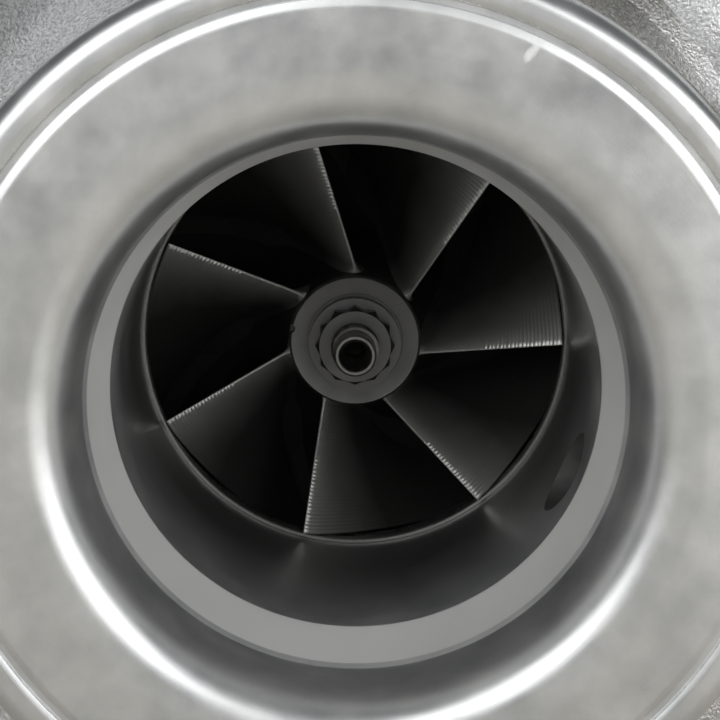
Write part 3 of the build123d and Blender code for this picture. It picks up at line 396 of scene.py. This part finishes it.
def matt_solid(name, colour, roughness):
    """Rubber or gasket sheet: no metal, a fine matt grain and slightly dusty patches."""
    mat, tree, shader, coords = shader_tree(name, colour, roughness, 0.0)
    dust = noise(tree, coords, 180.0, 4.0)
    tone = blend_colour(tree, spread(tree, dust, 0.0, 1.0), colour, tuple(1.5 * c + 0.01 for c in colour))
    tree.links.new(tone, shader.inputs["Base Color"])
    bump(tree, shader, ((noise(tree, coords, 1800.0, 3.0, 0.6), 0.00002),))
    return mat


# %% [markdown]
# ## One finish for each material slot
#
# The record names a material slot for every part, so a part takes its finish by name. A part that is
# only seen deep in the bore gets its own darker finish, because little light comes back from there.

# %% Make the finishes, then give every part its own
finishes = {
    "turned_aluminium": turned_aluminium(),
    "cast_aluminium": cast_skin("cast_aluminium", (0.82, 0.825, 0.83), (0.50, 0.505, 0.51), 0.27, 0.00017,
                                slow_depth=0.00007, grain_scale=2300.0, bored=0.0462),
    "machined_aluminium": fine_metal("machined_aluminium", (0.74, 0.745, 0.745), 0.36),
    "dark_milled_aluminium": milled_aluminium("dark_milled_aluminium", (0.60, 0.60, 0.58), 0.36),
    # Near-black aluminium: on the hub's front face it is painted shade deep in the bore.
    "dark_turned_aluminium": fine_metal("dark_turned_aluminium", (0.13, 0.13, 0.127), 0.40,
                                        grain=0.000012),
    # Dark grey aluminium: painted shade on the drilled port's wall in the inlet.
    "drilled_aluminium": fine_metal("drilled_aluminium", (0.30, 0.30, 0.295), 0.42, marks=False),
    "shadowed_aluminium": fine_metal("shadowed_aluminium", (0.09, 0.09, 0.088), 0.5, marks=False),
    "black_steel": fine_metal("black_steel", (0.13, 0.13, 0.13), 0.38),
    "cast_iron_housing": cast_skin("cast_iron_housing", (0.30, 0.29, 0.275), (0.17, 0.155, 0.145), 0.50,
                                   0.00012),
    "turbine_iron": cast_skin("turbine_iron", (0.25, 0.225, 0.205), (0.15, 0.115, 0.095), 0.56, 0.00014),
    "nickel_alloy": cast_skin("nickel_alloy", (0.46, 0.44, 0.41), (0.32, 0.29, 0.26), 0.40, 0.00003,
                              slow_depth=0.00002),
    "shaft_steel": fine_metal("shaft_steel", (0.62, 0.62, 0.61), 0.26),
    # Dark steel: painted shade for the shaft, whose end sits deep in the bore.
    "oiled_steel": fine_metal("oiled_steel", (0.23, 0.225, 0.215), 0.33),
    "stainless": fine_metal("stainless", (0.62, 0.61, 0.59), 0.32, tint=(0.58, 0.55, 0.50)),
    "plated_steel": fine_metal("plated_steel", (0.68, 0.68, 0.67), 0.30, tint=(0.60, 0.61, 0.64)),
    "passivated_steel": fine_metal("passivated_steel", (0.80, 0.66, 0.36), 0.33, tint=(0.72, 0.66, 0.50)),
    "stud_steel": fine_metal("stud_steel", (0.30, 0.29, 0.28), 0.42),
    "bronze": fine_metal("bronze", (0.66, 0.45, 0.22), 0.32),
    "copper_washer": fine_metal("copper_washer", (0.78, 0.42, 0.27), 0.34),
    "copper_nut": fine_metal("copper_nut", (0.70, 0.42, 0.28), 0.36),
    "seal_rubber": matt_solid("seal_rubber", (0.022, 0.022, 0.023), 0.7),
    "gasket_sheet": matt_solid("gasket_sheet", (0.10, 0.095, 0.09), 0.85),
}
for entry in frame["record"]["subparts"]:
    node = frame["nodes"][entry["node"]]
    node.data.materials.clear()
    node.data.materials.append(finishes[entry["material_slot"]])
print("finishes:", len(finishes))


def finish_piece(piece, body, finish, slot_name, *nodes):
    """Give a piece its finish and its body and, if it stands for CAD nodes, hide them."""
    if finish and not piece.data.materials:
        piece.data.materials.append(finishes[finish])
    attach(piece, body)
    if nodes:
        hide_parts(*nodes)
    tris = sum(len(p.vertices) - 2 for p in piece.data.polygons)
    print(piece.name, "triangles:", tris)
    return piece


# %% [markdown]
# ## The turned inlet
#
# The casting's mouth is cut on a lathe in one setting: the rounded rim, the flat face with its
# witness groove, the bell mouth, a conical band, the bore and the small ledge just in front of the
# blades. A CAD solid shows its facets in a highlight this wide, so the machined skin is a separate
# shell of revolution with many rings in the bell. It stands proud of the solid by a seventh of a
# millimetre, and by about a third on the flat face.

# %% Machined skin of the inlet
def bell_outline(proud):
    """The CAD model's bell curve, moved a little way out of the metal."""
    curve = [(face_inner_radius, 0.0)]
    curve += bezier(curve[0], (32.3, 0.0), (bell_end_radius, 3.4), (bell_end_radius, bell_depth), 44)
    out = []
    for before, here, after in zip(curve, curve[1:], curve[2:]):
        run = Vector(after) - Vector(before)
        side = Vector((-abs(run.y), -abs(run.x))).normalized()
        out.append((here[0] + side.x * proud, here[1] + side.y * proud))
    return out[3:]


def inlet_outline():
    """Outer run along the land and the rim, then the face and the bore, then back inside the wall."""
    rim = 2.6
    s = skin
    f = face_skin
    run = [(land_radius + s, land_end - 0.4), (land_radius + s, lip_length + 1.6)]
    run += [(lip_radius + s, lip_length + 0.2), (lip_radius + s, rim)]
    run += ellipse((lip_radius - rim + s, rim), rim, rim + f, 0, -90, 14)[1:]
    run += [(groove_radius + 1.5, -f), (groove_radius + 1.25, -f)]
    run += [(groove_radius + 1.05, -f + 0.03), (groove_radius + 0.5, -0.1)]
    run += [(groove_radius + 0.35, 0.35), (groove_radius - 0.3, 0.35), (groove_radius - 0.45, -0.1)]
    run += [(groove_radius - 1.15, -f + 0.03), (groove_radius - 1.35, -f), (groove_radius - 1.6, -f)]
    run += [(face_inner_radius + 3.6, -f), (face_inner_radius + 1.9, -f)]
    run += [(face_inner_radius + 1.1, -f + 0.01), (face_inner_radius + 0.4, -f + 0.05)]
    run += bell_outline(0.17)
    run += [(bell_end_radius - s, bell_depth), (band_start[0] - s, band_start[1] - 0.1)]
    run += [(band_start[0] - s - 0.05, band_start[1] + 0.3)]
    run += [(band_end[0] - s + 0.12, band_end[1] - 0.5), (band_end[0] - s, band_end[1])]
    run += [(band_end[0] - s, y) for y in (24.0, 30.0, 38.0, 46.0, 53.0, ledge_y - s - 0.3)]
    run += [(band_end[0] - s - 0.12, ledge_y - s), (inducer_radius + 0.38, ledge_y - s)]
    run += [(inducer_radius + 0.24, ledge_y - s + 0.16), (inducer_radius + 0.26, ledge_y + 1.5)]
    run += [(band_end[0] + 2.0, ledge_y + 1.5), (band_end[0] + 2.0, band_end[1] + 2.0)]
    run += [(bell_end_radius + 2.5, bell_depth + 2.0), (face_inner_radius + 2.5, 4.0)]
    run += [(land_radius - 3.0, land_end - 0.4)]
    return run


def cut(piece, cutter):
    """Boolean difference, applied to the mesh."""
    tool = piece.modifiers.new("cut", "BOOLEAN")
    tool.operation = "DIFFERENCE"
    tool.solver = "EXACT"
    tool.object = cutter
    graph = bpy.context.evaluated_depsgraph_get()
    result = bpy.data.meshes.new_from_object(piece.evaluated_get(graph))
    piece.modifiers.clear()
    piece.data = result
    bpy.data.objects.remove(cutter)
    return piece


def drill(radius, start, end, flare=0.0, segments=64):
    """Round cutter between two millimetre points, widened at its start by a chamfer."""
    a = Vector(start)
    b = Vector(end)
    along = (b - a).normalized()
    side = along.orthogonal().normalized()
    up = along.cross(side)
    steps = [(radius + flare, 0.0), (radius, flare), (radius, (b - a).length)]
    points = []
    for r, t in steps:
        for k in range(segments):
            c = 2 * math.pi * k / segments
            points.append(tuple(a + along * t + (side * math.cos(c) + up * math.sin(c)) * r))
    faces = [tuple(range(segments)), tuple(range(2 * segments, 3 * segments))]
    for row in range(len(steps) - 1):
        for k in range(segments):
            n = (k + 1) % segments
            low = row * segments
            faces.append((low + k, low + n, low + segments + n, low + segments + k))
    return link("cutter", fresh_mesh("cutter", points, faces))


def polar(radius, angle, y):
    return (radius * math.cos(angle), y, radius * math.sin(angle))


inlet = link("machined_inlet", turned("machined_inlet", inlet_outline(), 256))
bore_wall = band_end[0] - skin
port_mouth = polar(bore_wall - 0.75, port_angle, port_y)
inlet = cut(inlet, drill(port_radius - 0.12, port_mouth, polar(40, port_angle, port_y), 0.5))
smooth(inlet.data, 14.0)
# The port's drilled wall takes a darker grey than the turned face, as painted shade inside the hole.
inlet.data.materials.append(finishes["turned_aluminium"])
inlet.data.materials.append(finishes["drilled_aluminium"])
port_axis = Vector(polar(1.0, port_angle, 0.0))
for face in inlet.data.polygons:
    away = face.center / MM - Vector((0, port_y, 0))
    outwards = away.dot(port_axis)
    from_axis = (away - port_axis * outwards).length
    face.material_index = 1 if from_axis < port_radius + 0.05 and outwards > 20 else 0
finish_piece(inlet, "core", None, "cast_aluminium")

# %% [markdown]
# ## The milled wheel
#
# The wheel is cut from solid on a five-axis mill, which leaves fine parallel ridges along each
# blade. One blade is a grid: one direction follows the air, the other runs from root to tip, and
# the ridges are real relief. Geometry Nodes then turns copies of it round the hub, so the number of
# blades stays a single input and every blade is the same.

# %% One blade, with its milling ridges
blade_count = 7
first_blade = -1.7
stream_steps = 26
span_steps = 186
ridges = 38
ridge_height = 0.07


def blade_line(share):
    """Root and tip of the blade at a share of its length, in millimetres."""
    t = math.radians(90 * share)
    hub_r = exducer_radius - (exducer_radius - hub_face_radius) * math.cos(t)
    hub_y = hub_front + 3.0 + (exducer_back - hub_front - 3.0) * math.sin(t)
    tip_r = exducer_radius - (exducer_radius - inducer_radius) * math.cos(t)
    tip_y = wheel_front + (exducer_front - wheel_front) * math.sin(t)
    wrap = 48 * (1 - (1 - share) ** 1.8) + 12 * share ** 3
    tip_angle = math.radians(wrap)
    root_angle = tip_angle - math.radians(13.0 * (1 - share))
    return Vector(polar(hub_r, root_angle, hub_y)), Vector(polar(tip_r, tip_angle, tip_y))


def inside(point):
    """Keep a blade point within the wheel's outer radius."""
    radius = math.hypot(point.x, point.z)
    trim = min(1.0, exducer_radius / radius)
    return Vector((point.x * trim, point.y, point.z * trim))


def blade_mesh():
    """Closed blade: a ring of points round the section at every step from root to tip."""
    frames = []
    for i in range(stream_steps + 1):
        share = (i / stream_steps) ** 1.3
        root, tip = blade_line(share)
        before = blade_line(max(share - 0.01, 0.0))
        after = blade_line(min(share + 0.01, 1.0))
        travel = (after[0] + after[1] - before[0] - before[1]).normalized()
        across = (tip - root).cross(travel).normalized()
        frames.append((root, tip, across, travel))
    points = []
    for j in range(span_steps + 1):
        v = -0.06 + 1.06 * j / span_steps
        relief = ridge_height * (abs(math.sin(math.pi * ridges * v)) - 0.5) if v > 0.02 else 0.0
        flare = 0.9 * max(0.0, 1 - v / 0.09) ** 2
        half = (0.6 - 0.3 * max(v, 0.0)) + flare
        ring = []
        for side in (1, -1):
            order = frames if side == 1 else frames[::-1]
            for n, (root, tip, across, travel) in enumerate(order):
                edge = n if side == 1 else stream_steps - n
                taper = (0.30, 0.62, 0.85)[edge] if edge < 3 else 1.0
                middle = root + (tip - root) * v
                ring.append(inside(middle + across * side * (half * taper + relief)))
            if side == -1:
                root, tip, across, travel = frames[0]
                ring.append(root + (tip - root) * v - travel * (0.06 - relief))
        points.extend(ring)
    count = 2 * (stream_steps + 1) + 1
    faces = [tuple(range(count)), tuple(range(span_steps * count, (span_steps + 1) * count))]
    for j in range(span_steps):
        for i in range(count):
            n = (i + 1) % count
            faces.append((j * count + i, j * count + n, (j + 1) * count + n, (j + 1) * count + i))
    mesh = fresh_mesh("blade", [tuple(p) for p in points], faces)
    return smooth(mesh, 50.0)


blade = link("blade", blade_mesh())
print("blade faces:", len(blade.data.polygons))

# %% [markdown]
# The hub is another turned outline: a flat annulus under the nut, the curve that sends the air
# outwards, a thin rim and the back of the disc. A small notch on its front edge is where metal was
# ground away to balance the rotor.

# %% Hub outline
def hub_outline():
    inner = 3.225
    depth = exducer_back - hub_front - 3.0
    reach = exducer_radius - hub_face_radius
    start = (hub_face_radius, hub_front + 3.0)
    run = [(inner, hub_front), (nut_seat, hub_front), (nut_seat + 0.05, hub_front + 0.04)]
    run += [(hub_face_radius - 0.42, hub_front + 0.04), (hub_face_radius - 0.3, hub_front)]
    run += [(hub_face_radius, hub_front + 0.3), start]
    run += bezier(start, (hub_face_radius, start[1] + 0.55 * depth),
                  (exducer_radius - 0.55 * reach, exducer_back), (exducer_radius, exducer_back), 36)
    run += [(exducer_radius, 83.2), (22.0, 83.2), (10.0, 86.8), (8.0, 86.8), (8.0, 88.0), (inner, 88.0)]
    return run


hub = link("wheel_hub", turned("wheel_hub", hub_outline(), 160))
notch_angle = math.radians(169)
hub = cut(hub, drill(0.55, polar(8.75, notch_angle, 54.5), polar(8.75, notch_angle, 56.2)))
smooth(hub.data)
# Painted shade: the hub's front face takes near-black aluminium, and everything behind it a still darker
# one, as it lies deeper in the bore.
for name in ("dark_turned_aluminium", "shadowed_aluminium"):
    hub.data.materials.append(finishes[name])
for face in hub.data.polygons:
    face.material_index = 1 if face.center.y > (hub_front + 0.5) * MM else 0
finish_piece(hub, "rotor", None, "dark_milled_aluminium", "compressor_wheel")


# %% [markdown]
# A repeated part is made once. A mesh line gives one point for each blade, and each copy turns by an
# equal share of a full circle. The result is kept as one plain mesh that turns with the rotor.

# %% Node tree that sets the blades round the hub
def wheel_tree():
    tree = bpy.data.node_groups.new("blades round hub", "GeometryNodeTree")
    face = tree.interface
    face.new_socket("Geometry", in_out="INPUT", socket_type="NodeSocketGeometry")
    face.new_socket("Blade", in_out="INPUT", socket_type="NodeSocketObject")
    face.new_socket("Count", in_out="INPUT", socket_type="NodeSocketInt")
    face.new_socket("First angle", in_out="INPUT", socket_type="NodeSocketFloat")
    face.new_socket("Finish", in_out="INPUT", socket_type="NodeSocketMaterial")
    face.new_socket("Geometry", in_out="OUTPUT", socket_type="NodeSocketGeometry")
    nodes = tree.nodes
    given = nodes.new("NodeGroupInput")
    out = nodes.new("NodeGroupOutput")
    line = nodes.new("GeometryNodeMeshLine")
    to_points = nodes.new("GeometryNodeMeshToPoints")
    index = nodes.new("GeometryNodeInputIndex")
    info = nodes.new("GeometryNodeObjectInfo")
    step = nodes.new("ShaderNodeMath")
    step.operation = "DIVIDE"
    step.inputs[0].default_value = 2 * math.pi
    turn = nodes.new("ShaderNodeMath")
    turn.operation = "MULTIPLY_ADD"
    sign = nodes.new("ShaderNodeMath")
    sign.operation = "MULTIPLY"
    sign.inputs[1].default_value = -1.0
    spin = nodes.new("ShaderNodeCombineXYZ")
    copies = nodes.new("GeometryNodeInstanceOnPoints")
    real = nodes.new("GeometryNodeRealizeInstances")
    paint = nodes.new("GeometryNodeSetMaterial")
    wire = tree.links.new
    line.inputs["Offset"].default_value = (0, 0, 0)
    wire(given.outputs["Count"], line.inputs["Count"])
    wire(line.outputs["Mesh"], to_points.inputs["Mesh"])
    wire(given.outputs["Blade"], info.inputs["Object"])
    wire(given.outputs["Count"], step.inputs[1])
    wire(index.outputs["Index"], turn.inputs[0])
    wire(step.outputs["Value"], turn.inputs[1])
    wire(given.outputs["First angle"], turn.inputs[2])
    wire(turn.outputs["Value"], sign.inputs[0])
    wire(sign.outputs["Value"], spin.inputs["Y"])
    wire(to_points.outputs["Points"], copies.inputs["Points"])
    wire(info.outputs["Geometry"], copies.inputs["Instance"])
    wire(spin.outputs["Vector"], copies.inputs["Rotation"])
    wire(copies.outputs["Instances"], real.inputs["Geometry"])
    wire(real.outputs["Geometry"], paint.inputs["Geometry"])
    wire(given.outputs["Finish"], paint.inputs["Material"])
    wire(paint.outputs["Geometry"], out.inputs["Geometry"])
    return tree


def bake(piece, tree, values):
    """Run a node tree on a piece with named inputs and keep the result as a plain mesh."""
    nodes = piece.modifiers.new("nodes", "NODES")
    nodes.node_group = tree
    for item in tree.interface.items_tree:
        if item.in_out == "INPUT" and item.name in values:
            nodes[item.identifier] = values[item.name]
    graph = bpy.context.evaluated_depsgraph_get()
    result = bpy.data.meshes.new_from_object(piece.evaluated_get(graph))
    piece.modifiers.clear()
    piece.data = result
    return piece


wheel_inputs = {"Blade": blade, "Count": blade_count, "First angle": math.radians(first_blade),
                "Finish": finishes["dark_milled_aluminium"]}
wheel = bake(link("milled_blades", bpy.data.meshes.new("milled_blades")), wheel_tree(), wheel_inputs)
smooth(wheel.data, 50.0)
bpy.data.objects.remove(blade)
finish_piece(wheel, "rotor", "dark_milled_aluminium", "dark_milled_aluminium", "compressor_wheel")
lo = [min(v.co[k] for v in wheel.data.vertices) / MM for k in range(3)]
hi = [max(v.co[k] for v in wheel.data.vertices) / MM for k in range(3)]
print("blades span y %.1f to %.1f mm, radius %.2f mm" % (lo[1], hi[1], hi[0]))

# %% [markdown]
# ## The shaft's threaded end
#
# A quarter-inch thread is a ridge that climbs one pitch for each turn. Giving the outline's radius
# a saw shape that shifts with the angle makes a true helix in a single ring mesh, with no boolean.

# %% Shaft with a real thread
stub_radius = 3.175
thread_start = 47.6
thread_end = 52.1
thread_pitch = 25.4 / 28
thread_depth = 0.42


def shaft_outline():
    """Centre hole, bare end, thread, stub, the two bearing lands and the seal groove."""
    run = [(0.05, 54.0), (1.5, 53.0), (1.5, 46.0), (1.95, 44.2), (2.1, 43.7), (2.2, 43.6)]
    run += [(2.5, 43.6), (2.75, 43.9), (2.75, thread_start - 0.2)]
    run += [(stub_radius, thread_start + 0.075 * i) for i in range(60)]
    run += [(stub_radius, 102.8), (5.0, 102.8), (5.0, 114.0), (4.4, 115.0)]
    run += [(4.4, 125.0), (5.0, 126.0), (5.0, 138.5)]
    run += [(7.9, 139.5), (7.9, 142.0), (6.6, 142.0), (6.6, 144.0)]
    run += [(7.9, 144.0), (7.9, 155.5), (0.05, 155.5)]
    return run


def thread(radius, y, angle):
    """Sixty-degree ridges of the 28-per-inch thread, fading in over its first half turn."""
    if radius != stub_radius or y > thread_end:
        return radius
    phase = ((y + thread_pitch * angle / (2 * math.pi)) / thread_pitch) % 1.0
    depth = thread_depth * min(1.0, (y - 47.4) / 0.4)
    return radius - 0.02 - depth * abs(2 * phase - 1)


# Painted shade: the shaft takes dark steel instead of bright shaft steel, as its end sits deep in the
# bore.
shaft = link("threaded_shaft", turned("threaded_shaft", shaft_outline(), 120, thread))
finish_piece(shaft, "rotor", "oiled_steel", "shaft_steel", "rotor_shaft")

# %% [markdown]
# ## Floor, light and camera
#
# The part stands on its turbine foot on a plain pale floor. Polished hollows show whatever shines
# into them, so the lights are large and soft: one high on the left and one low on the right, which
# give the bell mouth its two bright crescents, and a weak one in front for the flat face. The camera
# sits two hand widths in front of the inlet and a little above the axis, looking slightly down.

# %% Studio
def plain(name, colour, roughness):
    mat, tree, shader, coords = shader_tree(name, colour, roughness, 0.0)
    patches = noise(tree, coords, 3.0, 3.0)
    tone = blend_colour(tree, patches, colour, tuple(0.94 * c for c in colour))
    tree.links.new(tone, shader.inputs["Base Color"])
    return mat


floor_mesh = bpy.data.meshes.new("floor")
floor_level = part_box("turbine_housing")[0].z
wide = 4.0
corners = [(x, y, floor_level) for x, y in ((-wide, -wide), (wide, -wide), (wide, wide), (-wide, wide))]
floor_mesh.from_pydata(corners, [], [(0, 1, 2, 3)])
floor = link("floor", floor_mesh)
floor.data.materials.append(plain("floor", (0.62, 0.59, 0.53), 0.6))


def soft_light(name, place, target, size, power, colour=(1, 1, 1)):
    """Large square light that faces a point."""
    data = bpy.data.lights.new(name, "AREA")
    data.shape = "RECTANGLE"
    data.size = size[0]
    data.size_y = size[1]
    data.energy = power
    data.color = colour
    lamp = bpy.data.objects.new(name, data)
    lamp.location = place
    lamp.rotation_mode = "QUATERNION"
    lamp.rotation_quaternion = (Vector(target) - Vector(place)).to_track_quat("-Z", "Y")
    bpy.context.scene.collection.objects.link(lamp)
    return lamp


soft_light("upper left", (-0.46, -0.76, 0.50), (0, 0.02, 0), (0.85, 0.85), 5.2)
soft_light("right", (0.70, -0.74, 0.14), (0, 0.02, 0), (0.95, 0.95), 7.0)
soft_light("front", (0.12, -1.0, 0.46), (0, 0.03, 0), (0.4, 0.2), 0.2)
soft_light("back", (0.2, 0.9, 0.8), (0, 0.1, 0), (0.8, 0.8), 6.0, (1.0, 0.97, 0.93))

world = bpy.data.worlds.new("studio")
world.use_nodes = True
world.node_tree.nodes["Background"].inputs["Color"].default_value = (0.68, 0.73, 0.78, 1)
world.node_tree.nodes["Background"].inputs["Strength"].default_value = 0.1
bpy.context.scene.world = world

camera_data = bpy.data.cameras.new("camera")
camera_data.lens = 100.0
camera_data.sensor_width = 36.0
camera_data.clip_start = 0.01
camera = bpy.data.objects.new("camera", camera_data)
bpy.context.scene.collection.objects.link(camera)
camera.location = (-0.0009, -0.2102, 0.0462)
camera.rotation_euler = (math.radians(90 - 10.43), 0, math.radians(-0.34))
bpy.context.scene.camera = camera
bpy.context.scene.view_settings.view_transform = "Standard"
